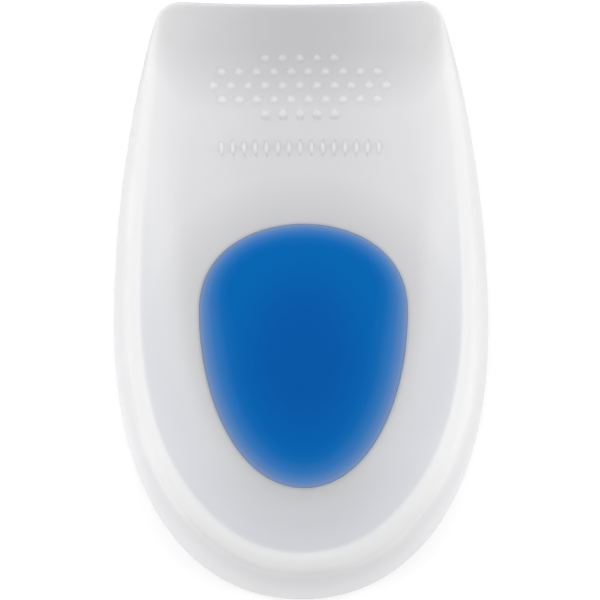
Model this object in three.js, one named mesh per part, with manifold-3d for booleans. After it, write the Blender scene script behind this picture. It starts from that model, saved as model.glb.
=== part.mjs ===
// Heel cup: a soft silicone cup that lies under the heel in a shoe, with a softer gel insert let
// into its seat. Millimetres, +Z up, +Y towards the toe, the flat base on Z = 0, and the origin
// under the middle of the cup's length and width.
import * as THREE from 'three';
import { mergeVertices } from 'three/addons/utils/BufferGeometryUtils.js';
import Module from 'manifold-3d';

const { lerp, smoothstep } = THREE.MathUtils;

// Plan of the cup
const cupLength = 104;
const cupWidth = 65.1;
const widestFromHeel = 47;
const frontWidth = 50.6;
const cornerLength = 3.8;
const cornerWidth = 4.8;
const frontEdgeSag = 0.6;

// Thickness, wall and rim
const seatThickness = 6;
const frontEdgeThickness = 1.5;
const tongueLength = 40;
const heelRimRise = 11;
const heelWallLean = 4.4;
const heelCrestWidth = 4;
const crestRounding = 1.5;
const bowlSweep = 10.6;
const baseRounding = 2.2;

// Gel insert and its pocket
const insertLength = 45.7;
const insertWidth = 36.1;
const insertFromHeel = 19.5;
const insertWidestFromBack = 30.8;
const insertDepth = 4;
const insertDish = 0.7;
const insertDraft = 1;
const insertEdgeRounding = 0.4;
const insertGap = 0.3;

// Raised pattern on the tongue: an oval field of round pips, and behind it a row of short ribs
const reliefHeight = 0.35;
const reliefRoot = 0.5;
const pipWidth = 1.7;
const pipPitch = 3;
const pipRowPitch = 2.4;
const pipFieldWidth = 35;
const pipFieldLength = 11;
const pipFieldFromFront = 14.7;
const ribWidth = 0.8;
const ribLength = 2.2;
const ribPitch = 1.95;
const ribRowWidth = 31;
const ribRowFromFront = 25.5;

// Shape of the plan curves, as shares of the run that each curve handle follows
const heelFullness = { end: 0.583, side: 0.634 };
const sideFullness = 0.32;
const sideTaper = 0.281;
const insertFullness = { front: 0.413, frontSide: 0.75, backSide: 0.564, back: 0.576 };

// Rim sections from the heel to the front edge. along is a share of cupLength, and rise, lean and
// crest are shares of heelRimRise, heelWallLean and heelCrestWidth.
const rimSections = [
  { along: 0.0, rise: 1.0, lean: 1.0, crest: 1.0 },
  { along: 0.1, rise: 0.97, lean: 0.88, crest: 0.96 },
  { along: 0.25, rise: 0.87, lean: 0.61, crest: 0.84 },
  { along: 0.4, rise: 0.71, lean: 0.44, crest: 0.76 },
  { along: 0.55, rise: 0.52, lean: 0.38, crest: 0.67 },
  { along: 0.7, rise: 0.32, lean: 0.28, crest: 0.62 },
  { along: 0.85, rise: 0.16, lean: 0.13, crest: 0.45 },
  { along: 0.94, rise: 0.055, lean: 0.07, crest: 0.25 },
  { along: 1.0, rise: 0.0, lean: 0.05, crest: 0.13 },
];

// Rings of the loft
const baseRoundingAngles = [0, 30, 60, 90];
const crestRoundingAngles = [0, 45, 90];
const wallBulge = { up: 0.5, inward: 0.4 };
const crestInner = { across: 0.75, riseLeft: 0.95 };
const bowlShares = [0, 0.07, 0.15, 0.25, 0.37, 0.52, 0.74, 1];
const bowlHollow = 2;
const roundingLimit = { crest: 0.4, height: 0.3 };
const dishShares = [0.82, 0.58, 0.3];

// Steps on each curve of half an outline: heel, side, front corner and front edge of the cup, and
// back and front of the insert
const outlineSteps = [20, 14, 4, 5];
const insertSteps = [40, 40];

// Section of a pip or rib, as shares of its half width and of reliefHeight
const reliefSection = [
  { across: 1, up: 0.4 },
  { across: 0.72, up: 0.88 },
  { across: 0, up: 1 },
];
const reliefSides = 10;

// Places that follow from the sizes
const heelY = -cupLength / 2;
const frontY = cupLength / 2;
const widestY = heelY + widestFromHeel;
const cornerY = frontY - cornerLength;
const insertBackY = heelY + insertFromHeel;
const insertFrontY = insertBackY + insertLength;
const insertWidestY = insertBackY + insertWidestFromBack;
const seatCentre = new THREE.Vector2(0, (insertBackY + insertFrontY) / 2);
const pocketFloorZ = seatThickness - insertDepth;

// A plan curve through two ends and two handles, each given as [x, y]
function planCurve(...points) {
  return new THREE.CubicBezierCurve(...points.map(([x, y]) => new THREE.Vector2(x, y)));
}

// A plan curve whose one handle is the corner that it rounds
function cornerCurve(...points) {
  return new THREE.QuadraticBezierCurve(...points.map(([x, y]) => new THREE.Vector2(x, y)));
}

// Joins the curves of the right half, from the back to the front, and mirrors them into a loop
// that runs anticlockwise seen from above.
function mirroredLoop(curves, steps) {
  const right = [curves[0].getPoint(0)];
  curves.forEach((curve, index) => right.push(...curve.getPoints(steps[index]).slice(1)));
  const left = right.slice(1, -1).reverse().map((point) => new THREE.Vector2(-point.x, point.y));
  return [...right, ...left];
}

function cupOutline() {
  const halfWidth = cupWidth / 2;
  const halfFront = frontWidth / 2;
  const heelRun = widestY - heelY;
  const sideRun = cornerY - widestY;
  const cornerEnd = halfFront - cornerWidth;
  const heel = planCurve(
    [0, heelY],
    [heelFullness.end * halfWidth, heelY],
    [halfWidth, widestY - heelFullness.side * heelRun],
    [halfWidth, widestY],
  );
  const side = planCurve(
    [halfWidth, widestY],
    [halfWidth, widestY + sideFullness * sideRun],
    [halfFront + sideTaper * sideFullness * sideRun, cornerY - sideFullness * sideRun],
    [halfFront, cornerY],
  );
  const corner = cornerCurve(
    [halfFront, cornerY],
    [halfFront - sideTaper * cornerLength, frontY],
    [cornerEnd, frontY],
  );
  const frontEdge = cornerCurve(
    [cornerEnd, frontY],
    [cornerEnd / 2, frontY - frontEdgeSag],
    [0, frontY - frontEdgeSag],
  );
  return mirroredLoop([heel, side, corner, frontEdge], outlineSteps);
}

// Egg shape of the insert: broad at the front, tapering to the heel
function insertOutline() {
  const halfWidth = insertWidth / 2;
  const backRun = insertWidestY - insertBackY;
  const frontRun = insertFrontY - insertWidestY;
  const back = planCurve(
    [0, insertBackY],
    [insertFullness.back * halfWidth, insertBackY],
    [halfWidth, insertWidestY - insertFullness.backSide * backRun],
    [halfWidth, insertWidestY],
  );
  const front = planCurve(
    [halfWidth, insertWidestY],
    [halfWidth, insertWidestY + insertFullness.frontSide * frontRun],
    [insertFullness.front * halfWidth, insertFrontY],
    [0, insertFrontY],
  );
  return mirroredLoop([back, front], insertSteps);
}

// Where a ray from the seat's centre towards a point leaves a closed loop
function rayMeetsLoop(towards, loop) {
  const ray = towards.clone().sub(seatCentre).normalize();
  for (let index = 0; index < loop.length; index += 1) {
    const from = loop[index].clone().sub(seatCentre);
    const edge = loop[(index + 1) % loop.length].clone().sub(loop[index]);
    const turn = ray.cross(edge);
    const share = from.cross(ray) / turn;
    const distance = from.cross(edge) / turn;
    if (distance > 0 && share >= 0 && share < 1) {
      return seatCentre.clone().addScaledVector(ray, distance);
    }
  }
  throw new Error('the ray from the seat meets no edge of the loop');
}

// Inward unit normal of a closed loop at one of its points
function inwardNormal(loop, index) {
  const before = loop[(index + loop.length - 1) % loop.length];
  const after = loop[(index + 1) % loop.length];
  const along = after.clone().sub(before).normalize();
  return new THREE.Vector2(-along.y, along.x);
}

// Smooth curve through one column of the rim table
function rimColumn(column) {
  const stations = rimSections.map((section) => section.along);
  const values = rimSections.map((section) => section[column]);
  const curve = new THREE.CubicInterpolant(stations, values, 1);
  return (along) => curve.evaluate(along)[0];
}

// Thickness of the floor at a place along the cup: the seat, then a ramp down to the front edge
function floorHeight(y) {
  const towardsSeat = smoothstep(frontY - y, 0, tongueLength);
  return lerp(frontEdgeThickness, seatThickness, towardsSeat);
}

// Everything that the rings need at each point of the outline
function rimStations() {
  const outline = cupOutline();
  const insertLoop = insertOutline();
  const riseAt = rimColumn('rise');
  const leanAt = rimColumn('lean');
  const crestAt = rimColumn('crest');
  return outline.map((point, index) => {
    const along = (point.y - heelY) / cupLength;
    const inward = inwardNormal(outline, index);
    const rise = heelRimRise * riseAt(along);
    const lean = heelWallLean * leanAt(along);
    const crest = heelCrestWidth * crestAt(along);
    const height = floorHeight(point.y) + rise;
    const rounding = Math.min(crestRounding, roundingLimit.crest * crest, roundingLimit.height * height);
    const foot = Math.min(baseRounding, roundingLimit.height * height);
    const insertEdge = rayMeetsLoop(point, insertLoop);
    const crestEnd = point.clone().addScaledVector(inward, lean + crest);
    return { point, inward, rise, lean, crest, height, rounding, foot, insertEdge, crestEnd };
  });
}

// Height of the bowl's surface at a plan point that belongs to a rim station
function bowlHeight(station, place) {
  const fromCrest = place.clone().sub(station.crestEnd).dot(station.inward);
  const left = Math.max(0, 1 - Math.max(0, fromCrest) / bowlSweep);
  return floorHeight(place.y) + crestInner.riseLeft * station.rise * left ** bowlHollow;
}

function at(place, z) {
  return new THREE.Vector3(place.x, place.y, z);
}

// A ring of points, one for each station, from an inset and a height
function insetRing(stations, insetAndHeight) {
  return stations.map((station) => {
    const [inset, z] = insetAndHeight(station);
    return at(station.point.clone().addScaledVector(station.inward, inset), z);
  });
}

// Closed body through rings that run from the middle of the base, over the rim, to the middle of
// the top. All rings have the same number of points, anticlockwise seen from above.
function loft(rings, bottomCentre, topCentre) {
  const count = rings[0].length;
  const points = [...rings.flat(), bottomCentre, topCentre];
  const bottom = points.length - 2;
  const top = points.length - 1;
  const lastRing = (rings.length - 1) * count;
  const faces = [];
  for (let index = 0; index < count; index += 1) {
    const next = (index + 1) % count;
    faces.push(bottom, next, index);
    faces.push(top, lastRing + index, lastRing + next);
    for (let ring = 0; ring < lastRing; ring += count) {
      faces.push(ring + index, ring + next, ring + count + next);
      faces.push(ring + index, ring + count + next, ring + count + index);
    }
  }
  const geometry = new THREE.BufferGeometry().setFromPoints(points);
  geometry.setIndex(faces);
  return geometry;
}

// Base, leaning outer wall and rounded crest
function wallRings(stations) {
  const rings = baseRoundingAngles.map((degrees) => insetRing(stations, ({ foot }) => {
    const angle = THREE.MathUtils.degToRad(degrees);
    return [foot * (1 - Math.sin(angle)), foot * (1 - Math.cos(angle))];
  }));
  rings.push(insetRing(stations, ({ foot, lean, height, rounding }) => (
    [wallBulge.inward * lean, lerp(foot, height - rounding, wallBulge.up)]
  )));
  crestRoundingAngles.forEach((degrees) => rings.push(insetRing(stations, ({ lean, height, rounding }) => {
    const angle = THREE.MathUtils.degToRad(degrees);
    return [lean + rounding * (1 - Math.cos(angle)), height - rounding * (1 - Math.sin(angle))];
  })));
  rings.push(insetRing(stations, ({ lean, crest, height }) => [lean + crestInner.across * crest, height]));
  return rings;
}

// Inner wall, floor and the pocket that the insert lies in
function bowlRings(stations) {
  const pocketEdge = ({ insertEdge }) => {
    const outward = insertEdge.clone().sub(seatCentre).normalize();
    return insertEdge.clone().addScaledVector(outward, insertGap);
  };
  const rings = bowlShares.map((share) => stations.map((station) => {
    const place = station.crestEnd.clone().lerp(pocketEdge(station), share);
    return at(place, bowlHeight(station, place));
  }));
  rings.push(stations.map((station) => at(pocketEdge(station), pocketFloorZ)));
  return rings;
}

function cupShell(stations) {
  const rings = [...wallRings(stations), ...bowlRings(stations)];
  return loft(rings, at(seatCentre, 0), at(seatCentre, pocketFloorZ));
}

// Gel insert: tapered sides, a rounded upper edge flush with the seat and a slightly dished top
function insertGeometry(stations) {
  const bottomZ = pocketFloorZ + insertGap;
  const shrunk = (station, inset, z) => {
    const inward = seatCentre.clone().sub(station.insertEdge).normalize();
    return at(station.insertEdge.clone().addScaledVector(inward, inset), z);
  };
  const edgeZ = (station) => bowlHeight(station, station.insertEdge);
  const rings = [
    stations.map((station) => shrunk(station, insertDraft, bottomZ)),
    stations.map((station) => shrunk(station, 0, edgeZ(station) - insertEdgeRounding)),
    stations.map((station) => shrunk(station, insertEdgeRounding, edgeZ(station))),
  ];
  dishShares.forEach((share) => rings.push(stations.map((station) => {
    const place = seatCentre.clone().lerp(station.insertEdge, share);
    return at(place, edgeZ(station) - insertDish * (1 - share ** 2));
  })));
  return loft(rings, at(seatCentre, bottomZ), at(seatCentre, seatThickness - insertDish));
}

// One raised pip or rib: a low dome on a root that reaches below the surface
function reliefDome(width, length, x, y) {
  const root = [new THREE.Vector2(0, -reliefRoot), new THREE.Vector2(1, -reliefRoot)];
  const dome = reliefSection.map(({ across, up }) => new THREE.Vector2(across, up * reliefHeight));
  const geometry = new THREE.LatheGeometry([...root, ...dome], reliefSides).rotateX(Math.PI / 2);
  const slope = (floorHeight(y + length / 2) - floorHeight(y - length / 2)) / length;
  geometry.scale(width / 2, length / 2, 1).rotateX(Math.atan(slope));
  return geometry.translate(x, y, floorHeight(y));
}

// Places at a pitch on both sides of zero, as far as the reach, with or without one on zero itself
function spacedPlaces(reach, pitch, staggered = false) {
  const pairs = Math.floor(reach / pitch + (staggered ? 0.5 : 0));
  const count = 2 * pairs + (staggered ? 0 : 1);
  return Array.from({ length: count }, (_, index) => (index - (count - 1) / 2) * pitch);
}

function pipField() {
  const middleY = frontY - pipFieldFromFront;
  const halfLength = pipFieldLength / 2;
  return spacedPlaces(halfLength, pipRowPitch).flatMap((rowY, row) => {
    const reach = (pipFieldWidth / 2) * Math.sqrt(1 - (rowY / halfLength) ** 2);
    const places = spacedPlaces(reach, pipPitch, row % 2 === 1);
    return places.map((x) => reliefDome(pipWidth, pipWidth, x, middleY + rowY));
  });
}

function ribRow() {
  const y = frontY - ribRowFromFront;
  return spacedPlaces(ribRowWidth / 2, ribPitch).map((x) => reliefDome(ribWidth, ribLength, x, y));
}

// Joins solids into one body
const wasm = await Module();
wasm.setup();

function toSolid(geometry) {
  const bare = geometry.clone();
  bare.deleteAttribute('normal');
  bare.deleteAttribute('uv');
  const merged = mergeVertices(bare);
  return new wasm.Manifold(new wasm.Mesh({
    numProp: 3,
    vertProperties: new Float32Array(merged.attributes.position.array),
    triVerts: new Uint32Array(merged.index.array),
  }));
}

function toGeometry(solid) {
  const mesh = solid.getMesh();
  const geometry = new THREE.BufferGeometry();
  geometry.setAttribute('position', new THREE.BufferAttribute(mesh.vertProperties, 3));
  geometry.setIndex(new THREE.BufferAttribute(mesh.triVerts, 1));
  return geometry;
}

function joined(geometries) {
  const [first, ...rest] = geometries.map(toSolid);
  return toGeometry(rest.reduce((whole, piece) => whole.add(piece), first));
}

function piece(name, geometry, material) {
  geometry.computeVertexNormals();
  const mesh = new THREE.Mesh(geometry, material);
  mesh.name = name;
  return mesh;
}

const silicone = new THREE.MeshStandardMaterial({ color: 0xe4e6e8, roughness: 0.42, metalness: 0 });
const blueGel = new THREE.MeshStandardMaterial({ color: 0x0062b0, roughness: 0.4, metalness: 0 });

const stations = rimStations();
const heelCup = new THREE.Group();
heelCup.add(piece('cup_body', joined([cupShell(stations), ...pipField(), ...ribRow()]), silicone));
heelCup.add(piece('soft_insert', insertGeometry(stations), blueGel));

export default heelCup;
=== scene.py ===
"""A soft heel cup of frosted silicone, with a softer blue gel insert let into its heel seat.

The cup lies on its flat base with the toe end towards +Y, in metres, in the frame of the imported
model. The pieces are drawn up ring by ring from a primitive circle, subdivided and dressed.
"""
import logging
import math
from dataclasses import dataclass
from enum import Enum
from functools import cached_property
from typing import Callable

import bmesh
import bpy
from mathutils import Matrix, Vector
from mathutils.kdtree import KDTree


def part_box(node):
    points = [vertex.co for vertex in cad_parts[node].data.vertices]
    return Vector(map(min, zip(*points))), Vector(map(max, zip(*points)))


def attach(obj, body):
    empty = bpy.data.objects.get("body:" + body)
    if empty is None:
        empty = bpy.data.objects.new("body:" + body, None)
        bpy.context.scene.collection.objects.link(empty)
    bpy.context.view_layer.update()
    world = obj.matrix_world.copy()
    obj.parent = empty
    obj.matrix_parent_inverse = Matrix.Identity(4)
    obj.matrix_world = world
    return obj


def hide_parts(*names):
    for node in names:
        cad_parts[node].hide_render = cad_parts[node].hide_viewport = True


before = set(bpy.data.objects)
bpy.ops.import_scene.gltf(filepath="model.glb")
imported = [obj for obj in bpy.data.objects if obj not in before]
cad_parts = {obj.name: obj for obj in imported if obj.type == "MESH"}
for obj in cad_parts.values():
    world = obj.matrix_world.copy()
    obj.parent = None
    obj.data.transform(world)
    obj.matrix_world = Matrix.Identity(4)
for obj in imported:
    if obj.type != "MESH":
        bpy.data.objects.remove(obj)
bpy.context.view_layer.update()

log = logging.getLogger("heel_cup")

MM = 0.001
TINY = 1e-9
Colour = tuple[float, float, float, float]
Ring = list[Vector]
Pair = tuple[float, float]
Piece = bpy.types.Object
Socket = bpy.types.NodeSocket
BLACK: Colour = (0.0, 0.0, 0.0, 1.0)
WHITE: Colour = (1.0, 1.0, 1.0, 1.0)


def srgb(red: int, green: int, blue: int) -> Colour:
    """Turn a display colour of 0 to 255 a channel into the linear colour that shaders take.

    Args:
        red: Red channel.
        green: Green channel.
        blue: Blue channel.

    Returns:
        The linear colour with full alpha.
    """
    def linear(channel: int) -> float:
        """Undo the display curve of one channel."""
        share = channel / 255
        return share / 12.92 if share <= 0.04045 else ((share + 0.055) / 1.055) ** 2.4

    return (linear(red), linear(green), linear(blue), 1.0)


def lerp(start: float, end: float, share: float) -> float:
    """Blend two numbers by a share from 0 to 1."""
    return start + (end - start) * share


def smoothstep(share: float) -> float:
    """Ease a share in and out, held between 0 and 1."""
    held = min(max(share, 0.0), 1.0)
    return held * held * (3 - 2 * held)


def bezier(points: list[Pair], steps: int) -> list[Vector]:
    """Sample a Bezier curve of any degree in plan.

    Args:
        points: Its control points, as x and y.
        steps: How many steps to divide it into.

    Returns:
        The sampled points, both ends among them, at height zero.
    """
    sampled = []
    for step in range(steps + 1):
        share = step / steps
        level = [Vector((x, y, 0.0)) for x, y in points]
        while len(level) > 1:
            level = [first.lerp(second, share) for first, second in zip(level, level[1:])]
        sampled.append(level[0])
    return sampled


def mirrored_loop(curves: list[list[Vector]]) -> Ring:
    """Join curves of the right half, from back to front, and mirror them into a closed loop.

    Args:
        curves: Sampled curves that follow each other along the right side.

    Returns:
        The loop, anticlockwise seen from above, starting at the back.
    """
    right = [curves[0][0]]
    for curve in curves:
        right.extend(curve[1:])
    left = [Vector((-point.x, point.y, 0.0)) for point in reversed(right[1:-1])]
    return right + left


def table_column(stations: list[float], values: list[float]) -> Callable[[float], float]:
    """Smooth curve through one column of a table.

    Args:
        stations: Rising positions of the rows.
        values: The column's value in each row.

    Returns:
        A function that gives the value at any position between the first and last row.
    """
    def slope(index: int) -> float:
        """Slope at a row, from its neighbours, or from the only neighbour at either end.

        Args:
            index: The row.

        Returns:
            The slope.
        """
        before = max(index - 1, 0)
        after = min(index + 1, len(stations) - 1)
        return (values[after] - values[before]) / (stations[after] - stations[before])

    def value(position: float) -> float:
        """Value at a position, by the cubic between the two rows around it.

        Args:
            position: The position, held between the first and last row.

        Returns:
            The column's value there.
        """
        held = min(max(position, stations[0]), stations[-1])
        row = max(index for index in range(len(stations) - 1) if stations[index] <= held)
        run = stations[row + 1] - stations[row]
        share = (held - stations[row]) / run
        start = (1 + 2 * share) * (1 - share) ** 2 * values[row]
        end = share ** 2 * (3 - 2 * share) * values[row + 1]
        leave = share * (1 - share) ** 2 * run * slope(row)
        arrive = share ** 2 * (share - 1) * run * slope(row + 1)
        return start + end + leave + arrive

    return value


class Slot(Enum):
    """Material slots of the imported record."""

    SILICONE = "silicone"
    BLUE_GEL = "blue_gel"


@dataclass(frozen=True)
class RimSection:
    """One row of the rim table, all of it shares of the cup's named sizes.

    Attributes:
        along: Place from the heel end to the front edge.
        rise: Share of the rim's rise at the heel.
        lean: Share of the wall's lean at the heel.
        crest: Share of the crest's width at the heel.
    """

    along: float
    rise: float
    lean: float
    crest: float


@dataclass(frozen=True)
class Station:
    """What the rings need to know at one point of the outline, in metres.

    Attributes:
        point: Point on the outline.
        inward: Unit normal of the outline, pointing inwards.
        rise: Height of the crest over the floor.
        lean: How far the outer wall leans in.
        crest: Width of the crest.
        height: Height of the crest over the base.
        rounding: Radius of the crest's outer edge.
        foot: Radius of the base's edge.
        insert_edge: Point on the insert's outline that the ray from the seat meets.
    """

    point: Vector
    inward: Vector
    rise: float
    lean: float
    crest: float
    height: float
    rounding: float
    foot: float
    insert_edge: Vector

    @property
    def crest_end(self) -> Vector:
        """Where the crest ends and the inner wall starts."""
        return self.point + self.inward * (self.lean + self.crest)

    def inset(self, distance: float, height: float) -> Vector:
        """Point at a distance inside the outline and at a height."""
        place = self.point + self.inward * distance
        return Vector((place.x, place.y, height))


@dataclass(frozen=True)
class CupForm:
    """Outline, rim and seat of the cup, in metres.

    The length, the width and the heel's height come from the frame.
    """

    length: float
    width: float
    heel_height: float
    widest_from_heel: float = 47 * MM
    front_width: float = 50.6 * MM
    corner_length: float = 3.8 * MM
    corner_width: float = 4.8 * MM
    front_edge_sag: float = 0.6 * MM
    seat_thickness: float = 6 * MM
    front_edge_thickness: float = 1.5 * MM
    tongue_length: float = 40 * MM
    heel_wall_lean: float = 4.4 * MM
    heel_crest_width: float = 4 * MM
    crest_rounding: float = 1.5 * MM
    bowl_sweep: float = 10.6 * MM
    base_rounding: float = 2.2 * MM
    insert_length: float = 45.7 * MM
    insert_width: float = 36.1 * MM
    insert_from_heel: float = 19.5 * MM
    insert_widest_from_back: float = 30.8 * MM
    insert_depth: float = 4 * MM
    insert_aside: float = 0.4 * MM
    heel_end_fullness: float = 0.583
    heel_side_fullness: float = 0.634
    side_fullness: float = 0.32
    side_taper: float = 0.281
    insert_front_fullness: float = 0.413
    insert_front_side_fullness: float = 0.75
    insert_back_side_fullness: float = 0.564
    insert_back_fullness: float = 0.576
    rise_left_at_crest_end: float = 0.95
    rounding_share_of_crest: float = 0.5
    rounding_share_of_height: float = 0.3
    steps: tuple[int, int, int, int] = (24, 18, 8, 10)
    fine_steps: tuple[int, int, int, int] = (200, 150, 60, 80)
    insert_steps: int = 60
    fine_insert_steps: int = 200
    sections: tuple[RimSection, ...] = (
        RimSection(0.0, 1.0, 1.0, 1.0),
        RimSection(0.1, 0.97, 0.88, 0.96),
        RimSection(0.25, 0.87, 0.61, 0.84),
        RimSection(0.4, 0.71, 0.44, 0.76),
        RimSection(0.55, 0.52, 0.38, 0.67),
        RimSection(0.7, 0.32, 0.28, 0.62),
        RimSection(0.85, 0.16, 0.13, 0.45),
        RimSection(0.94, 0.055, 0.07, 0.25),
        RimSection(1.0, 0.0, 0.05, 0.13),
    )

    @property
    def heel_y(self) -> float:
        """Place of the heel end along the cup."""
        return -self.length / 2

    @property
    def front_y(self) -> float:
        """Place of the front corners' tips along the cup."""
        return self.length / 2

    @property
    def pocket_floor(self) -> float:
        """Height of the pocket's floor over the base."""
        return self.seat_thickness - self.insert_depth

    @property
    def seat_centre(self) -> Vector:
        """Middle of the insert in plan, which all rays start from."""
        middle_y = self.heel_y + self.insert_from_heel + self.insert_length / 2
        return Vector((self.insert_aside, middle_y, 0.0))

    def outline(self, steps: tuple[int, int, int, int]) -> Ring:
        """Outline of the cup in plan.

        Args:
            steps: Steps on the heel, side, front corner and front edge of one half.

        Returns:
            The closed outline.
        """
        half, front = self.width / 2, self.front_width / 2
        widest = self.heel_y + self.widest_from_heel
        corner_y = self.front_y - self.corner_length
        corner_end = front - self.corner_width
        run = corner_y - widest
        heel = [
            (0.0, self.heel_y),
            (self.heel_end_fullness * half, self.heel_y),
            (half, widest - self.heel_side_fullness * self.widest_from_heel),
            (half, widest),
        ]
        side = [
            (half, widest),
            (half, widest + self.side_fullness * run),
            (front + self.side_taper * self.side_fullness * run, corner_y - self.side_fullness * run),
            (front, corner_y),
        ]
        corner = [
            (front, corner_y),
            (front - self.side_taper * self.corner_length, self.front_y),
            (corner_end, self.front_y),
        ]
        edge_y = self.front_y - self.front_edge_sag
        front_edge = [(corner_end, self.front_y), (corner_end / 2, edge_y), (0.0, edge_y)]
        curves = (heel, side, corner, front_edge)
        return mirrored_loop([bezier(curve, count) for curve, count in zip(curves, steps)])

    def insert_outline(self, steps: int) -> Ring:
        """Egg-shaped outline of the insert in plan, broad at the front and a little off the middle.

        Args:
            steps: Steps on the back and on the front of one half.

        Returns:
            The closed outline.
        """
        half = self.insert_width / 2
        back_y = self.heel_y + self.insert_from_heel
        front_y = back_y + self.insert_length
        widest = back_y + self.insert_widest_from_back
        back = [
            (0.0, back_y),
            (self.insert_back_fullness * half, back_y),
            (half, widest - self.insert_back_side_fullness * (widest - back_y)),
            (half, widest),
        ]
        front = [
            (half, widest),
            (half, widest + self.insert_front_side_fullness * (front_y - widest)),
            (self.insert_front_fullness * half, front_y),
            (0.0, front_y),
        ]
        aside = Vector((self.insert_aside, 0.0, 0.0))
        return [point + aside for point in mirrored_loop([bezier(back, steps), bezier(front, steps)])]

    def rim_column(self, name: str) -> Callable[[float], float]:
        """Smooth curve through one column of the rim table, from 0 at the heel to 1 at the front."""
        along = [section.along for section in self.sections]
        return table_column(along, [getattr(section, name) for section in self.sections])

    def floor_height(self, y: float) -> float:
        """Thickness of the floor at a place along the cup: the seat, then the ramp to the front."""
        eased = smoothstep((self.front_y - y) / self.tongue_length)
        return lerp(self.front_edge_thickness, self.seat_thickness, eased)

    def bowl_height(self, station: Station, place: Vector) -> float:
        """Height of the bowl's surface at a plan point that belongs to a station.

        Args:
            station: The station whose ray the point lies on.
            place: The point in plan.

        Returns:
            The height over the base.
        """
        from_crest = max((place - station.crest_end).dot(station.inward), 0.0)
        left = max(1 - from_crest / self.bowl_sweep, 0.0)
        return self.floor_height(place.y) + self.rise_left_at_crest_end * station.rise * left ** 2

    def ray_meets(self, towards: Vector, loop: Ring) -> Vector:
        """Find where the ray from the seat's centre towards a point leaves a closed loop.

        Args:
            towards: The point that the ray aims at.
            loop: The closed loop around the seat's centre.

        Returns:
            The point on the loop.
        """
        ray = (towards - self.seat_centre).to_2d().normalized()
        for first, second in zip(loop, loop[1:] + loop[:1]):
            start = (first - self.seat_centre).to_2d()
            edge = (second - first).to_2d()
            turn = ray.cross(edge)
            share = start.cross(ray) / turn
            distance = start.cross(edge) / turn
            if distance > 0 and -TINY <= share < 1:
                return self.seat_centre + (ray * distance).to_3d()
        raise ValueError("the ray from the seat meets no edge of the loop")

    @cached_property
    def stations(self) -> list[Station]:
        """The rim at each point of the outline.

        Returns:
            One station for each point of the outline.
        """
        outline = self.outline(self.steps)
        insert_loop = self.insert_outline(self.insert_steps)
        rise_at = self.rim_column("rise")
        lean_at = self.rim_column("lean")
        crest_at = self.rim_column("crest")
        heel_rise = self.heel_height - self.seat_thickness
        made = []
        for index, point in enumerate(outline):
            run = (outline[(index + 1) % len(outline)] - outline[index - 1]).normalized()
            share = (point.y - self.heel_y) / self.length
            rise = heel_rise * rise_at(share)
            crest = self.heel_crest_width * crest_at(share)
            height = self.floor_height(point.y) + rise
            by_height = self.rounding_share_of_height * height
            made.append(Station(
                point=point,
                inward=Vector((-run.y, run.x, 0.0)),
                rise=rise,
                lean=self.heel_wall_lean * lean_at(share),
                crest=crest,
                height=height,
                rounding=min(self.crest_rounding, self.rounding_share_of_crest * crest, by_height),
                foot=min(self.base_rounding, by_height),
                insert_edge=self.ray_meets(point, insert_loop),
            ))
        return made


def fresh_selection() -> None:
    """Leave nothing selected, so that the next operator acts on the new piece alone."""
    bpy.ops.object.select_all(action="DESELECT")


def apply_modifier(obj: Piece, name: str) -> None:
    """Apply one modifier of an object.

    Args:
        obj: The object.
        name: The modifier's name.
    """
    fresh_selection()
    bpy.context.view_layer.objects.active = obj
    obj.select_set(True)
    bpy.ops.object.modifier_apply(modifier=name)


def close_ends(obj: Piece) -> None:
    """Fill the two open ends of a drawn-up body, turn its faces outwards and shade it smooth.

    Args:
        obj: The body, which is the active object. Not used.
    """
    bpy.ops.object.mode_set(mode="EDIT")
    bpy.ops.mesh.select_all(action="SELECT")
    bpy.ops.mesh.fill_holes(sides=0)
    bpy.ops.mesh.select_all(action="SELECT")
    bpy.ops.mesh.normals_make_consistent(inside=False)
    bpy.ops.object.mode_set(mode="OBJECT")
    bpy.ops.object.shade_smooth()


def place_selected_ring(obj: Piece, ring: Ring) -> None:
    """Put the selected vertices of the edited mesh where a ring has them.

    Args:
        obj: The object in edit mode, whose vertices carry their place in the ring.
        ring: The ring's points.
    """
    mesh = bmesh.from_edit_mesh(obj.data)
    order = mesh.verts.layers.int["order"]
    for vertex in mesh.verts:
        if vertex.select:
            vertex.co = ring[vertex[order]]
    bmesh.update_edit_mesh(obj.data)


def draw_up(name: str, rings: list[Ring], levels: int = 0) -> Piece:
    """Draw a closed body up from a circle, one extruded ring after the other.

    Args:
        name: Name of the piece.
        rings: Its rings, from the middle of the underside, over the rim, to the middle of the top.
        levels: How often each face between the rings is divided to round the body.

    Returns:
        The object, with both ends closed and its normals pointing out.
    """
    fresh_selection()
    bpy.ops.mesh.primitive_circle_add(vertices=len(rings[0]), radius=MM, fill_type="NOTHING")
    obj = bpy.context.object
    obj.name = name
    obj.data.name = name
    bpy.ops.object.mode_set(mode="EDIT")
    bpy.ops.mesh.select_mode(type="VERT")
    mesh = bmesh.from_edit_mesh(obj.data)
    order = mesh.verts.layers.int.new("order")
    mesh.verts.ensure_lookup_table()
    for index, vertex in enumerate(mesh.verts):
        vertex[order] = index
    bpy.ops.mesh.select_all(action="SELECT")
    place_selected_ring(obj, rings[0])
    bpy.ops.mesh.extrude_region_move()
    for ring in rings[1:-1]:
        place_selected_ring(obj, ring)
        bpy.ops.mesh.extrude_region_move()
    place_selected_ring(obj, rings[-1])
    bpy.ops.object.mode_set(mode="OBJECT")
    obj.data.attributes.remove(obj.data.attributes["order"])
    if levels:
        rounding = obj.modifiers.new("Rounding", "SUBSURF")
        rounding.levels = levels
        apply_modifier(obj, rounding.name)
    close_ends(obj)
    return obj


def raised(place: Vector, height: float) -> Vector:
    """A plan point lifted to a height."""
    return Vector((place.x, place.y, height))


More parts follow.
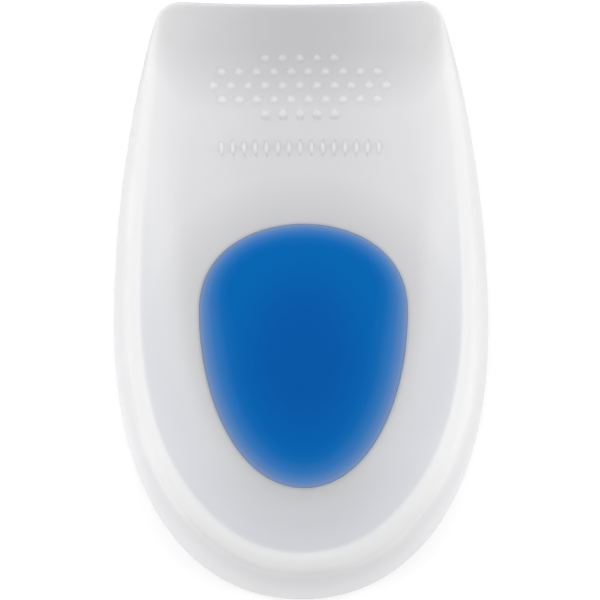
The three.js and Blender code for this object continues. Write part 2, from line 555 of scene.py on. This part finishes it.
def record_distance(
    obj: Piece, name: str, outline: Ring, measure: Callable[[Vector, float], float],
) -> None:
    """Store a measure of how far each vertex lies inside an outline, for a finish to read.

    Args:
        obj: The finished piece.
        name: Name of the attribute.
        outline: The outline in plan, closely sampled.
        measure: Turns the nearest point of the outline and the distance to it into the value.
    """
    tree = KDTree(len(outline))
    for index, point in enumerate(outline):
        tree.insert(point, index)
    tree.balance()
    stored = obj.data.attributes.new(name, "FLOAT", "POINT")
    for vertex, value in zip(obj.data.vertices, stored.data):
        nearest, _, distance = tree.find(raised(vertex.co, 0.0))
        value.value = measure(nearest, distance)


def stand_in(obj: Piece, node: str, material: bpy.types.Material) -> None:
    """Give a finished piece its material, and say what it stands for in the frame.

    Args:
        obj: The finished piece.
        node: The node that it replaces.
        material: Its finish.
    """
    obj.data.materials.clear()
    obj.data.materials.append(material)
    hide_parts(node)
    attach(obj, "root")
    low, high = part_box(node)
    log.info("%s replaces %s, %d faces, node box %s to %s",
             obj.name, node, len(obj.data.polygons), tuple(low), tuple(high))


@dataclass
class RaisedPattern:
    """Generic raised pattern on the tongue: an oval field of pips and a row of short ribs."""

    form: CupForm
    height: float = 0.42 * MM
    root: float = 0.3 * MM
    pip_width: float = 1.9 * MM
    pip_pitch: float = 3 * MM
    pip_row_pitch: float = 2.4 * MM
    pip_field_width: float = 35 * MM
    pip_field_length: float = 11 * MM
    pip_field_from_front: float = 14.7 * MM
    rib_width: float = 0.95 * MM
    rib_length: float = 2.4 * MM
    rib_pitch: float = 1.95 * MM
    rib_row_width: float = 31 * MM
    rib_row_from_front: float = 25.5 * MM
    root_across: float = 0.3
    top_across: float = 0.08
    top_fullness: float = 1.15
    sides: int = 20
    bell_steps: int = 5

    def places(self, reach: float, pitch: float, staggered: bool) -> list[float]:
        """Places at a pitch on both sides of zero.

        Args:
            reach: How far they go from zero.
            pitch: Distance from one to the next.
            staggered: Whether they straddle zero instead of starting on it.

        Returns:
            The places in rising order.
        """
        pairs = math.floor(reach / pitch + (0.5 if staggered else 0.0))
        count = 2 * pairs + (0 if staggered else 1)
        return [(index - (count - 1) / 2) * pitch for index in range(count)]

    def bell(self, name: str, width: float, length: float) -> Piece:
        """Model one pip or rib, a bell on a root that reaches below the surface.

        Args:
            name: Name of the piece.
            width: Its width across the cup.
            length: Its length along the cup.

        Returns:
            The bell, standing on the origin.
        """
        section = [(self.root_across, -self.root), (1.0, -self.root)]
        for step in range(self.bell_steps + 1):
            share = step / self.bell_steps
            up = self.height * smoothstep(share * self.top_fullness)
            section.append((lerp(1.0, self.top_across, share), up))
        turns = [math.tau * index / self.sides for index in range(self.sides)]
        rings = [
            [Vector((math.cos(turn) * width / 2 * across, math.sin(turn) * length / 2 * across, up))
             for turn in turns]
            for across, up in section
        ]
        return draw_up(name, rings)

    def seat(self, bell: Piece, x: float, y: float) -> Piece:
        """Copy a bell onto the tongue, tilted as the ramp is, with its place in its mesh.

        Args:
            bell: The bell to copy.
            x: Place across the cup.
            y: Place along the cup.

        Returns:
            The copy.
        """
        copy = bell.copy()
        copy.data = bell.data.copy()
        bpy.context.scene.collection.objects.link(copy)
        step = self.pip_width / 2
        drop = self.form.floor_height(y + step) - self.form.floor_height(y - step)
        tilt = Matrix.Rotation(math.atan2(drop, 2 * step), 4, "X")
        copy.data.transform(Matrix.Translation((x, y, self.form.floor_height(y))) @ tilt)
        return copy

    def build(self) -> Piece:
        """Lay out the whole pattern as one joined mesh.

        Returns:
            The pattern, ready to be fused with the cup.
        """
        pip = self.bell("pip", self.pip_width, self.pip_width)
        rib = self.bell("rib", self.rib_width, self.rib_length)
        seated = []
        middle = self.form.front_y - self.pip_field_from_front
        half = self.pip_field_length / 2
        for row, offset in enumerate(self.places(half, self.pip_row_pitch, False)):
            reach = self.pip_field_width / 2 * math.sqrt(1 - (offset / half) ** 2)
            for x in self.places(reach, self.pip_pitch, row % 2 == 1):
                seated.append(self.seat(pip, x, middle + offset))
        rib_y = self.form.front_y - self.rib_row_from_front
        for x in self.places(self.rib_row_width / 2, self.rib_pitch, False):
            seated.append(self.seat(rib, x, rib_y))
        for master in (pip, rib):
            bpy.data.objects.remove(master)
        fresh_selection()
        for copy in seated:
            copy.select_set(True)
        bpy.context.view_layer.objects.active = seated[0]
        bpy.ops.object.join()
        return seated[0]


@dataclass
class CupBody:
    """The one-piece silicone moulding: base, wall, rim, bowl, tongue and the insert's pocket."""

    form: CupForm
    pocket_gap: float = 0.02 * MM
    finish_crest: float = 3.0
    pocket_edge_rounding: float = 0.04 * MM
    pocket_edge_bevel: float = 0.3
    pocket_shares: tuple[float, ...] = (0.02, 0.5, 0.95)
    base_shares: tuple[float, ...] = (0.05, 0.4, 0.75, 0.95)
    rounding_steps: int = 6
    crest_steps: int = 4
    wall_shares: tuple[float, ...] = (0.2, 0.5, 0.8)
    wall_bulge: float = 0.4
    crest_shares: tuple[float, ...] = (0.5, 0.7)
    bowl_shares: tuple[float, ...] = (0, 0.04, 0.09, 0.15, 0.22, 0.3, 0.4, 0.52, 0.66, 0.8, 0.92, 0.985)
    levels: int = 2

    def base_rings(self) -> list[Ring]:
        """Flat base and its rounded edge.

        Returns:
            The rings, from the middle of the base outwards.
        """
        centre = self.form.seat_centre
        rings = [
            [centre.lerp(station.inset(station.foot, 0.0), share) for station in self.form.stations]
            for share in self.base_shares
        ]
        for step in range(self.rounding_steps + 1):
            turn = math.pi / 2 * step / self.rounding_steps
            rings.append([
                station.inset(station.foot * (1 - math.sin(turn)), station.foot * (1 - math.cos(turn)))
                for station in self.form.stations
            ])
        return rings

    def wall_rings(self) -> list[Ring]:
        """Outer wall that leans in, and the crest's rounded outer edge and top.

        Returns:
            The rings, from the wall's foot up and inwards.
        """
        rings = [
            [station.inset(station.lean * lerp(share, share ** 2, self.wall_bulge),
                           lerp(station.foot, station.height - station.rounding, share))
             for station in self.form.stations]
            for share in self.wall_shares
        ]
        for step in range(self.crest_steps + 1):
            turn = math.pi / 2 * step / self.crest_steps
            rings.append([
                station.inset(station.lean + station.rounding * (1 - math.cos(turn)),
                              station.height - station.rounding * (1 - math.sin(turn)))
                for station in self.form.stations
            ])
        for share in self.crest_shares:
            rings.append([
                station.inset(station.lean + share * station.crest, station.height)
                for station in self.form.stations
            ])
        return rings

    def pocket_edge(self, station: Station, outside: float) -> Vector:
        """Point in plan on a station's ray, at a distance outside the pocket's edge."""
        outward = (station.insert_edge - self.form.seat_centre).normalized()
        return station.insert_edge + outward * (self.pocket_gap + outside)

    def bowl_rings(self) -> list[Ring]:
        """Inner wall, floor, the pocket's eased edge and the pocket.

        Returns:
            The rings, from the crest's inner end to the middle of the pocket.
        """
        stations = self.form.stations
        pocket = [self.pocket_edge(station, 0.0) for station in stations]
        rings = []
        for share in self.bowl_shares:
            places = [station.crest_end.lerp(edge, share) for station, edge in zip(stations, pocket)]
            rings.append([
                raised(place, self.form.bowl_height(station, place))
                for station, place in zip(stations, places)
            ])
        rounding = self.pocket_edge_rounding
        bevel = self.pocket_edge_bevel * rounding
        for outside, down in ((rounding, 0.0), (bevel, bevel), (0.0, rounding)):
            rings.append([
                raised(self.pocket_edge(station, outside),
                       self.form.bowl_height(station, station.insert_edge) - down)
                for station in stations
            ])
        floor = self.form.pocket_floor
        centre = raised(self.form.seat_centre, floor)
        foot = [raised(edge, floor) for edge in pocket]
        rings.append([raised(point, floor + rounding) for point in foot])
        rings.extend([point.lerp(centre, share) for point in foot] for share in self.pocket_shares)
        return rings

    def record_distances(self, obj: Piece) -> None:
        """Store how far each vertex lies from the crest and from the pocket, for the finish.

        Args:
            obj: The finished body.
        """
        lean_at = self.form.rim_column("lean")
        crest_at = self.form.rim_column("crest")

        def across_rim(nearest: Vector, distance: float) -> float:
            """Place across the rim from the crest's outer edge, with the crest brought to one width.

            Args:
                nearest: Nearest point of the outline.
                distance: Distance to it.

            Returns:
                The place in mm.
            """
            along = (nearest.y - self.form.heel_y) / self.form.length
            inside = distance - self.form.heel_wall_lean * lean_at(along)
            crest = self.form.heel_crest_width * crest_at(along)
            on_crest = min(max(inside, 0.0), crest)
            return (inside - on_crest) / MM + on_crest / crest * self.finish_crest

        def in_mm(nearest: Vector, distance: float) -> float:
            """The distance itself, in mm."""
            return distance / MM

        corner_y = self.form.front_y - self.form.corner_length
        outline = self.form.outline(self.form.fine_steps)
        walled = [point for point in outline if point.y < corner_y]
        record_distance(obj, "from_crest", walled, across_rim)
        pocket = self.form.insert_outline(self.form.fine_insert_steps)
        record_distance(obj, "from_pocket", pocket, in_mm)

    def build(self) -> Piece:
        """Model the moulding and fuse the raised pattern with it.

        Returns:
            The finished silicone body.
        """
        rings = self.base_rings() + self.wall_rings() + self.bowl_rings()
        body = draw_up("silicone_cup", rings, self.levels)
        pattern = RaisedPattern(self.form).build()
        union = body.modifiers.new("Pattern", "BOOLEAN")
        union.operation = "UNION"
        union.solver = "EXACT"
        union.object = pattern
        apply_modifier(body, union.name)
        bpy.data.objects.remove(pattern)
        bpy.ops.object.shade_smooth()
        self.record_distances(body)
        return body

    def dress(self, body: Piece) -> None:
        """Give the body its finish and its place in the frame."""
        stand_in(body, "cup_body", FrostedSilicone().material())


@dataclass
class GelInsert:
    """The egg-shaped insert of softer gel, flush with the seat and slightly dished."""

    form: CupForm
    dish: float = 0.7 * MM
    draft: float = 1 * MM
    edge_rounding: float = 0.06 * MM
    bottom_gap: float = 0.3 * MM
    haze_at_back: float = 6.1
    haze_at_front: float = 3.4
    bottom_shares: tuple[float, ...] = (0.05, 0.5, 0.97)
    top_shares: tuple[float, ...] = (0.97, 0.92, 0.84, 0.74, 0.62, 0.48, 0.32, 0.16, 0.05)
    levels: int = 2

    def rings(self) -> list[Ring]:
        """Work out the insert's rings.

        Returns:
            The rings, from the middle of its underside to the middle of its top.
        """
        stations = self.form.stations
        centre = self.form.seat_centre
        bottom = self.form.pocket_floor + self.bottom_gap

        def shrunk(inset: float, heights: list[float]) -> Ring:
            """Ring inside the insert's outline.

            Args:
                inset: Distance inside the outline.
                heights: The height at each station.

            Returns:
                The ring.
            """
            return [
                raised(station.insert_edge + (centre - station.insert_edge).normalized() * inset, height)
                for station, height in zip(stations, heights)
            ]

        edge = [self.form.bowl_height(station, station.insert_edge) for station in stations]
        level = [bottom] * len(stations)
        foot = shrunk(self.draft, level)
        middle = raised(centre, bottom)
        rings = [[middle.lerp(point, share) for point in foot] for share in self.bottom_shares]
        rings.append([raised(point, bottom + self.edge_rounding / 2) for point in foot])
        rings.append(shrunk(0.0, [height - 2 * self.edge_rounding for height in edge]))
        for turn in (0.0, math.pi / 4, math.pi / 2):
            inset = self.edge_rounding * (1 - math.cos(turn))
            down = self.edge_rounding * (1 - math.sin(turn))
            rings.append(shrunk(inset, [height - down for height in edge]))
        mean_edge = sum(edge) / len(edge)
        for share in self.top_shares:
            rings.append([
                raised(centre.lerp(station.insert_edge, share),
                       lerp(mean_edge, height, share ** 2) - self.dish * (1 - share ** 2))
                for station, height in zip(stations, edge)
            ])
        return rings

    def record_edge_distance(self, obj: Piece) -> None:
        """Store how far each vertex lies inside the outline, in widths of the clouded edge.

        Args:
            obj: The finished insert.
        """
        back_y = self.form.heel_y + self.form.insert_from_heel

        def in_haze_widths(nearest: Vector, distance: float) -> float:
            """Bring a distance to widths of the haze, which narrows towards the front.

            Args:
                nearest: Nearest point of the outline.
                distance: Distance to it.

            Returns:
                The distance in widths of the haze.
            """
            forward = (nearest.y - back_y) / self.form.insert_length
            haze = lerp(self.haze_at_back, self.haze_at_front, smoothstep(2 * forward - 1))
            return distance / MM / haze

        outline = self.form.insert_outline(self.form.fine_insert_steps)
        record_distance(obj, "from_edge", outline, in_haze_widths)

    def build(self) -> Piece:
        """Model the insert.

        Returns:
            The finished gel insert.
        """
        insert = draw_up("gel_insert", self.rings(), self.levels)
        self.record_edge_distance(insert)
        return insert

    def dress(self, insert: Piece) -> None:
        """Give the insert its finish and its place in the frame."""
        stand_in(insert, "soft_insert", BlueGel().material())


class NodeBoard:
    """A material's node tree, with short ways to add and join nodes."""

    grain_detail = 3.0

    def __init__(self, name: str) -> None:
        """Start a material that holds one Principled shader.

        Args:
            name: Name of the material.
        """
        self.material = bpy.data.materials.new(name)
        self.material.use_nodes = True
        self.tree = self.material.node_tree
        self.shader = self.tree.nodes["Principled BSDF"]

    def add(self, kind: str, **settings: object) -> bpy.types.Node:
        """Add a node and set its own properties.

        Args:
            kind: Blender's name of the node type.
            **settings: Properties of the node and their values.

        Returns:
            The new node.
        """
        node = self.tree.nodes.new(kind)
        for name, value in settings.items():
            setattr(node, name, value)
        return node

    def join(self, source: Socket, target: Socket) -> None:
        """Link an output to an input."""
        self.tree.links.new(source, target)

    def ramp(self, share: Socket, stops: list[tuple[float, Colour]], blend: str) -> Socket:
        """Add a colour ramp.

        Args:
            share: Place along it, from 0 to 1.
            stops: Its positions and colours, in rising order.
            blend: How it goes from one colour to the next.

        Returns:
            The colour.
        """
        node = self.add("ShaderNodeValToRGB")
        self.join(share, node.inputs["Fac"])
        elements = node.color_ramp.elements
        node.color_ramp.interpolation = blend
        elements[0].position, elements[0].color = stops[0]
        elements[1].position, elements[1].color = stops[-1]
        for position, colour in stops[1:-1]:
            elements.new(position).color = colour
        return node.outputs["Color"]

    def noise(self, coordinates: Socket, scale: float, detail: float) -> Socket:
        """Add a noise texture.

        Args:
            coordinates: Where it reads its place.
            scale: Its repeats in a metre.
            detail: Its octaves.

        Returns:
            The noise.
        """
        node = self.add("ShaderNodeTexNoise")
        node.inputs["Scale"].default_value = scale
        node.inputs["Detail"].default_value = detail
        self.join(coordinates, node.inputs["Vector"])
        return node.outputs["Fac"]

    def map_range(self, value: Socket, source: Pair, target: Pair) -> Socket:
        """Bring a value from one range to another.

        Args:
            value: The value.
            source: Its range.
            target: The range that it is brought to.

        Returns:
            The value in the new range.
        """
        node = self.add("ShaderNodeMapRange")
        node.inputs["From Min"].default_value, node.inputs["From Max"].default_value = source
        node.inputs["To Min"].default_value, node.inputs["To Max"].default_value = target
        self.join(value, node.inputs["Value"])
        return node.outputs["Result"]

    def reading(self, attribute: str) -> Socket:
        """Value that the piece stores in one of its attributes."""
        return self.add("ShaderNodeAttribute", attribute_name=attribute).outputs["Fac"]

    def combine(self, operation: str, *values: Socket) -> Socket:
        """Add or multiply values, held between 0 and 1 at each step.

        Args:
            operation: Blender's name of the operation.
            *values: The values.

        Returns:
            Their sum or product.
        """
        total = values[0]
        for value in values[1:]:
            node = self.add("ShaderNodeMath", operation=operation, use_clamp=True)
            self.join(total, node.inputs[0])
            self.join(value, node.inputs[1])
            total = node.outputs["Value"]
        return total

    def tint(self, base: Socket, colour: Colour, share: Socket, blend: str) -> Socket:
        """Bring a colour towards another, or towards its product with the other.

        Args:
            base: The colour.
            colour: The other colour.
            share: How far it is brought there, from 0 to 1.
            blend: Blender's name of the blend.

        Returns:
            The tinted colour.
        """
        node = self.add("ShaderNodeMix", data_type="RGBA", blend_type=blend)
        self.join(share, node.inputs["Factor"])
        self.join(base, node.inputs["A"])
        node.inputs["B"].default_value = colour
        return node.outputs["Result"]

    def grain(self, coordinates: Socket, scale: float, depth: float) -> None:
        """Give the surface a fine matt grain by bump.

        Args:
            coordinates: Where the grain reads its place.
            scale: Its repeats in a metre.
            depth: Its height in metres.
        """
        bump = self.add("ShaderNodeBump")
        bump.inputs["Distance"].default_value = depth
        self.join(self.noise(coordinates, scale, self.grain_detail), bump.inputs["Height"])
        self.join(bump.outputs["Normal"], self.shader.inputs["Normal"])


@dataclass(frozen=True)
class FrostedSilicone:
    """Milky, slightly translucent silicone, with light and shade painted into its colour: whiter along the
    crest and greyer where it is thin, at the heel and by the pocket.
    """

    # Painted light and shade across the rim, from the foot of the outer wall in to the floor: lighter foot,
    # crest and inner wall, darker outer wall, bowl and floor.
    foot: Colour = srgb(232, 231, 233)
    low_wall: Colour = srgb(227, 226, 228)
    wall: Colour = srgb(217, 216, 218)
    crest: Colour = srgb(231, 231, 231)
    inner_wall: Colour = srgb(228, 228, 229)
    bowl: Colour = srgb(219, 219, 221)
    floor: Colour = srgb(208, 208, 210)
    shade: Colour = srgb(230, 230, 230)
    places: tuple[float, ...] = (-5.0, -2.6, -1.2, 0.0, 0.9, 2.7, 3.5, 11.0, 25.0)
    # Painted shade: darker where the silicone is thin, towards the heel end and next to the pocket.
    thin_heights: Pair = (2.0 * MM, 3.6 * MM)
    thin_shade: float = 0.9
    thin_reach: Pair = (0.0, 20.0)
    thin_share_at_rim: float = 0.55
    heel_places: Pair = (-46 * MM, -26 * MM)
    heel_shade: float = 0.6
    pocket_reach: float = 9.0
    pocket_shade: float = 0.6
    # Painted blue-grey shade in a narrow band along the pocket's edge, where the insert meets the silicone.
    pocket_edge_shade: Colour = srgb(160, 178, 206)
    pocket_edge_shade_reach: float = 0.6
    pocket_edge_shade_share: float = 0.6
    cloud_scale: float = 45.0
    cloud_detail: float = 2.0
    cloud_range: Pair = (0.3, 0.7)
    cloud_depth: float = 0.02
    grain_scale: float = 2600.0
    grain_depth: float = 0.012 * MM
    roughness: float = 0.42
    subsurface: float = 0.6
    subsurface_scale: float = 2.5 * MM
    subsurface_radius: tuple[float, float, float] = (1.0, 0.98, 0.95)

    def painted_shade(self, board: NodeBoard, place: Socket) -> Socket:
        """Add up the painted shade: where the silicone is thin, at the heel and by the pocket.

        Args:
            board: The material's nodes.
            place: Object coordinates.

        Returns:
            The sum, from 0 to 1.
        """
        split = board.add("ShaderNodeSeparateXYZ")
        board.join(place, split.inputs["Vector"])
        low = board.map_range(split.outputs["Z"], self.thin_heights, (self.thin_shade, 0.0))
        inside = board.map_range(
            board.reading("from_crest"), self.thin_reach, (self.thin_share_at_rim, 1.0))
        thin = board.combine("MULTIPLY", low, inside)
        at_heel = board.map_range(split.outputs["Y"], self.heel_places, (self.heel_shade, 0.0))
        by_pocket = board.map_range(
            board.reading("from_pocket"), (0.0, self.pocket_reach), (self.pocket_shade, 0.0))
        return board.combine("ADD", thin, at_heel, by_pocket)

    def material(self) -> bpy.types.Material:
        """Make the silicone.

        Returns:
            The material.
        """
        board = NodeBoard("frosted_silicone")
        place = board.add("ShaderNodeTexCoord").outputs["Object"]
        start, end = self.places[0], self.places[-1]
        inward = board.map_range(board.reading("from_crest"), (start, end), (0.0, 1.0))
        cloud = board.noise(place, self.cloud_scale, self.cloud_detail)
        swing = (-self.cloud_depth, self.cloud_depth)
        drift = board.map_range(cloud, self.cloud_range, swing)
        colours = (
            self.foot, self.low_wall, self.wall, self.wall, self.crest, self.crest,
            self.inner_wall, self.bowl, self.floor,
        )
        stops = [((across - start) / (end - start), colour) for across, colour in zip(self.places, colours)]
        # Painted light and shade across the rim, with a faint random cloud in the tone.
        rim_light_and_shade = board.ramp(board.combine("ADD", inward, drift), stops, "B_SPLINE")
        # Painted shade where the silicone is thin, at the heel and by the pocket.
        with_painted_shade = board.tint(rim_light_and_shade, self.shade, self.painted_shade(board, place), "MULTIPLY")
        # Painted blue-grey shade along the pocket's edge.
        at_pocket_edge = board.map_range(board.reading("from_pocket"), (0.0, self.pocket_edge_shade_reach), (self.pocket_edge_shade_share, 0.0))
        edge_shaded = board.tint(with_painted_shade, self.pocket_edge_shade, at_pocket_edge, "MIX")
        inputs = board.shader.inputs
        board.join(edge_shaded, inputs["Base Color"])
        board.grain(place, self.grain_scale, self.grain_depth)
        inputs["Roughness"].default_value = self.roughness
        inputs["Subsurface Weight"].default_value = self.subsurface
        inputs["Subsurface Scale"].default_value = self.subsurface_scale
        inputs["Subsurface Radius"].default_value = self.subsurface_radius
        return board.material


@dataclass(frozen=True)
class BlueGel:
    """Blue gel, clouded by the milky silicone where it thins towards its edge."""

    edge: Colour = srgb(124, 146, 183)
    haze: Colour = srgb(89, 130, 186)
    cloud: Colour = srgb(50, 115, 182)
    veil: Colour = srgb(14, 102, 176)
    body: Colour = srgb(0, 97, 172)
    heart: Colour = srgb(0, 84, 161)
    heart_centre: Pair = (0.4 * MM, -9.7 * MM)
    heart_radii: Pair = (14.5 * MM, 20 * MM)
    heart_ease: float = 0.75
    widths: tuple[float, ...] = (0.0, 0.16, 0.4, 0.74, 1.1)
    grain_scale: float = 2200.0
    grain_depth: float = 0.01 * MM
    roughness: float = 0.45
    specular: float = 0.05

    def depth(self, board: NodeBoard, place: Socket) -> Socket:
        """Let the colour deepen in an oval round the middle of the insert.

        Args:
            board: The material's nodes.
            place: Object coordinates.

        Returns:
            The share of the deep colour, from 0 at the oval's edge to 1 in the middle.
        """
        (centre_x, centre_y), (radius_x, radius_y) = self.heart_centre, self.heart_radii
        centred = board.add("ShaderNodeMapping")
        centred.inputs["Scale"].default_value = (1 / radius_x, 1 / radius_y, 0.0)
        centred.inputs["Location"].default_value = (-centre_x / radius_x, -centre_y / radius_y, 0.0)
        board.join(place, centred.inputs["Vector"])
        oval = board.add("ShaderNodeTexGradient", gradient_type="SPHERICAL")
        board.join(centred.outputs["Vector"], oval.inputs["Vector"])
        return board.ramp(oval.outputs["Fac"], [(0.0, BLACK), (self.heart_ease, WHITE)], "EASE")

    def material(self) -> bpy.types.Material:
        """Make the gel.

        Returns:
            The material.
        """
        board = NodeBoard("blue_gel")
        place = board.add("ShaderNodeTexCoord").outputs["Object"]
        reach = self.widths[-1]
        share = board.map_range(board.reading("from_edge"), (0.0, reach), (0.0, 1.0))
        colours = (self.edge, self.haze, self.cloud, self.veil, self.body)
        stops = [(width / reach, colour) for width, colour in zip(self.widths, colours)]
        clouded = board.ramp(share, stops, "LINEAR")
        deepened = board.tint(clouded, self.heart, self.depth(board, place), "MIX")
        board.join(deepened, board.shader.inputs["Base Color"])
        board.grain(place, self.grain_scale, self.grain_depth)
        board.shader.inputs["Roughness"].default_value = self.roughness
        board.shader.inputs["Specular IOR Level"].default_value = self.specular
        return board.material


@dataclass
class Studio:
    """Pale floor, soft lights and the camera straight above, as the photograph was taken."""

    floor_size: float = 6.0
    floor_colour: Colour = srgb(250, 250, 250)
    floor_glow: float = 0.15
    floor_roughness: float = 0.9
    floor_drop: float = 0.05 * MM
    softboxes: tuple[tuple[str, tuple[float, float, float], float], ...] = (
        ("left_softbox", (-0.95, 0.1, 0.6), 4.5),
        ("right_softbox", (0.95, 0.1, 0.6), 4.5),
        ("toe_softbox", (0.0, 0.95, 0.6), 2.2),
        ("heel_softbox", (0.0, -0.95, 0.6), 1.3),
    )
    softbox_size: float = 0.9
    surround: float = 0.645
    camera_height: float = 1.8
    frame_pixels: float = 600.0
    outline_pixels: float = 598.3
    middle_right_pixels: float = 1.0
    middle_down_pixels: float = 0.35
    roll_degrees: float = -0.29
    sensor_width_mm: float = 36.0

    def floor(self) -> None:
        """Lay the floor just under the cup, with a faint glow of its own."""
        fresh_selection()
        bpy.ops.mesh.primitive_plane_add(size=self.floor_size, location=(0, 0, -self.floor_drop))
        floor = bpy.context.object
        floor.name = "floor"
        board = NodeBoard("pale_floor")
        inputs = board.shader.inputs
        inputs["Base Color"].default_value = self.floor_colour
        inputs["Roughness"].default_value = self.floor_roughness
        inputs["Emission Color"].default_value = self.floor_colour
        inputs["Emission Strength"].default_value = self.floor_glow
        floor.data.materials.append(board.material)

    def softbox(self, name: str, place: Vector, watts: float) -> None:
        """Hang a square soft light that aims at the cup.

        Args:
            name: Name of the light.
            place: Where it hangs.
            watts: Its power.
        """
        light = bpy.data.lights.new(name, "AREA")
        light.size = self.softbox_size
        light.energy = watts
        lamp = bpy.data.objects.new(name, light)
        lamp.location = place
        lamp.rotation_euler = (-place).to_track_quat("-Z", "Y").to_euler()
        lamp.visible_camera = False
        bpy.context.scene.collection.objects.link(lamp)

    def lights(self) -> None:
        """Two large side lights, weaker ones beyond toe and heel, and an even surround."""
        for name, place, watts in self.softboxes:
            self.softbox(name, Vector(place), watts)
        world = bpy.data.worlds.new("surround")
        world.use_nodes = True
        background = world.node_tree.nodes["Background"]
        background.inputs["Color"].default_value = WHITE
        background.inputs["Strength"].default_value = self.surround
        bpy.context.scene.world = world
        bpy.context.scene.view_settings.view_transform = "Standard"

    def camera(self, length: float) -> None:
        """Set the camera straight above, so that the cup fills the frame as in the photograph.

        Args:
            length: Length of the cup.
        """
        pixel = length / self.outline_pixels
        view_width = pixel * self.frame_pixels
        data = bpy.data.cameras.new("camera")
        data.sensor_width = self.sensor_width_mm
        data.lens = self.sensor_width_mm * self.camera_height / view_width
        camera = bpy.data.objects.new("camera", data)
        right, down = self.middle_right_pixels * pixel, self.middle_down_pixels * pixel
        camera.location = (-right, down, self.camera_height)
        camera.rotation_euler = (0.0, 0.0, math.radians(self.roll_degrees))
        bpy.context.scene.collection.objects.link(camera)
        bpy.context.scene.camera = camera


def main() -> None:
    """Build the studio and the two pieces of the heel cup."""
    logging.basicConfig(level=logging.INFO)
    low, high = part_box("cup_body")
    form = CupForm(length=high.y - low.y, width=high.x - low.x, heel_height=high.z - low.z)
    studio = Studio()
    studio.camera(form.length)
    studio.floor()
    studio.lights()
    for moulding in (CupBody(form), GelInsert(form)):
        moulding.dress(moulding.build())


if __name__ == "__main__":
    main()
